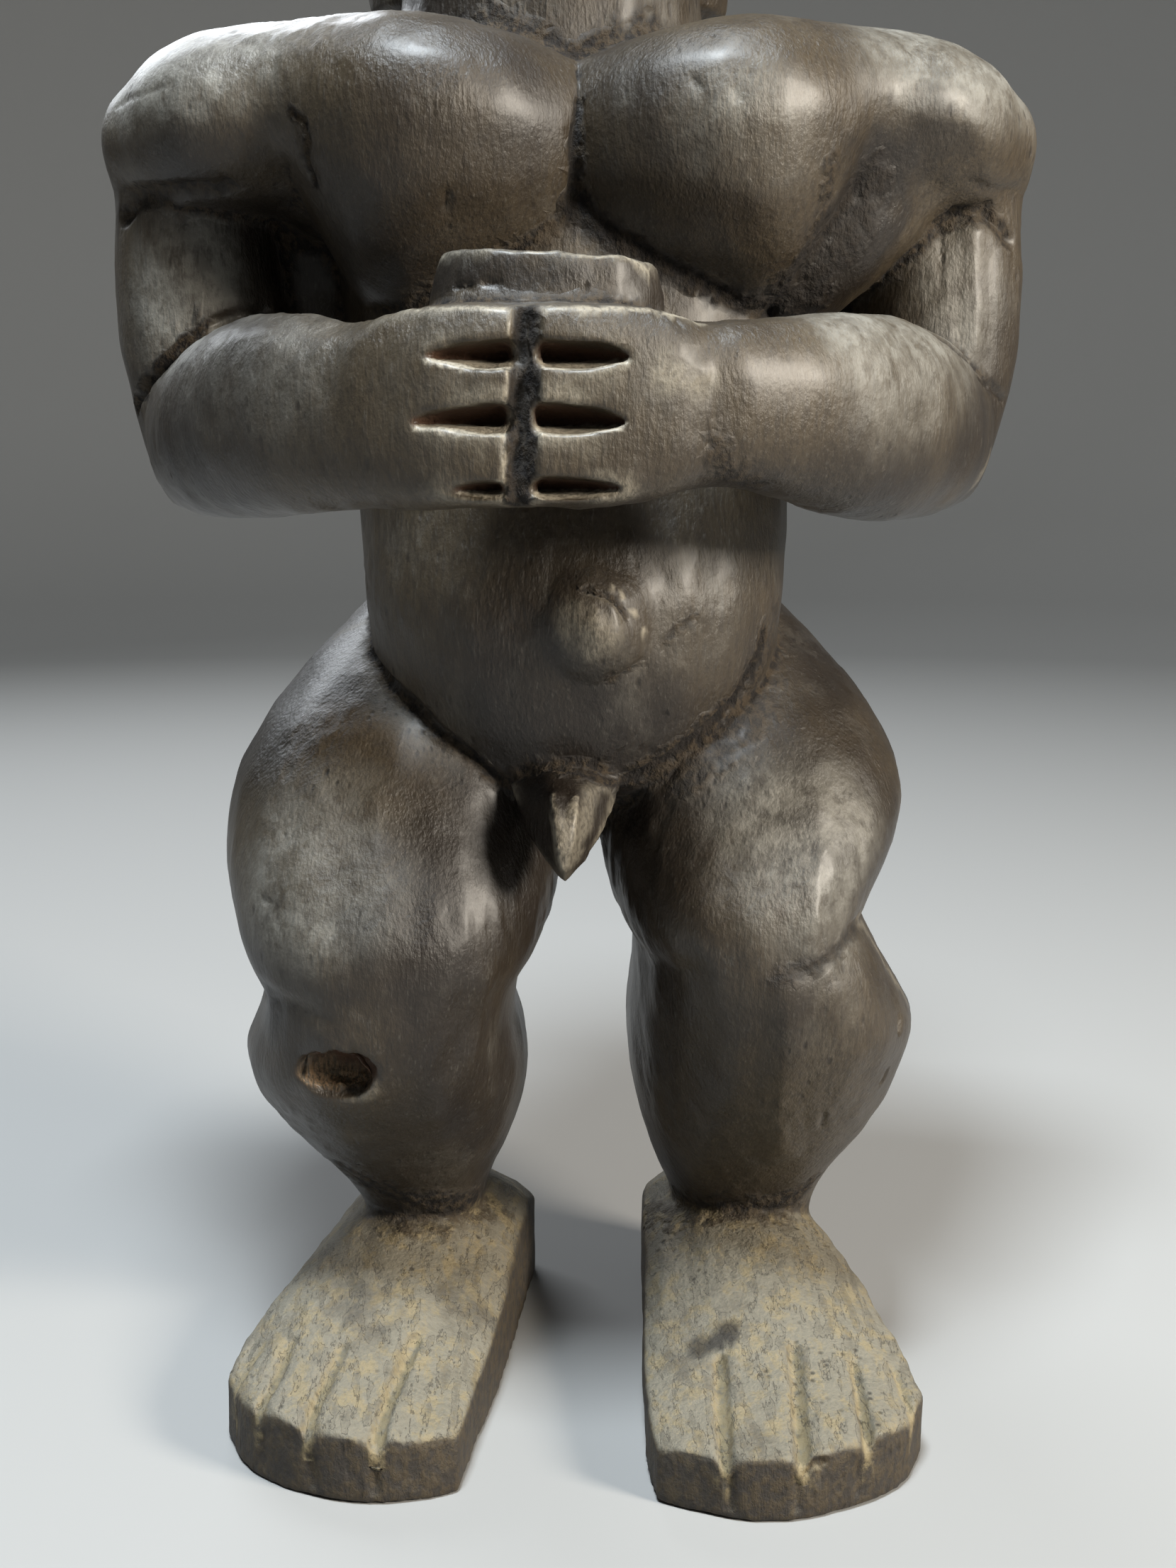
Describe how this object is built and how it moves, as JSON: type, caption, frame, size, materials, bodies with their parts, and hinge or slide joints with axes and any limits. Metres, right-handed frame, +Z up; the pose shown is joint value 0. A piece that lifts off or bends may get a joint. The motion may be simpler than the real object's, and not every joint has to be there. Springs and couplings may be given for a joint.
{
  "type": "standing male figure",
  "caption": "Carved wooden male figure standing on bent legs, with both hands holding a small open cup in front of the chest.",
  "frame": {"origin": "on the ground, under the middle of the figure's bounding box", "axes": "+Z up from the soles to the top of the head, the figure faces -Y, +X is on the viewer's right"},
  "size_m": [0.2238, 0.175, 0.5002],
  "materials": {
    "wood": "dark oiled patina, worn satin"
  },
  "bodies": {
    "root": {"figure": "wood"}
  },
  "joints": []
}
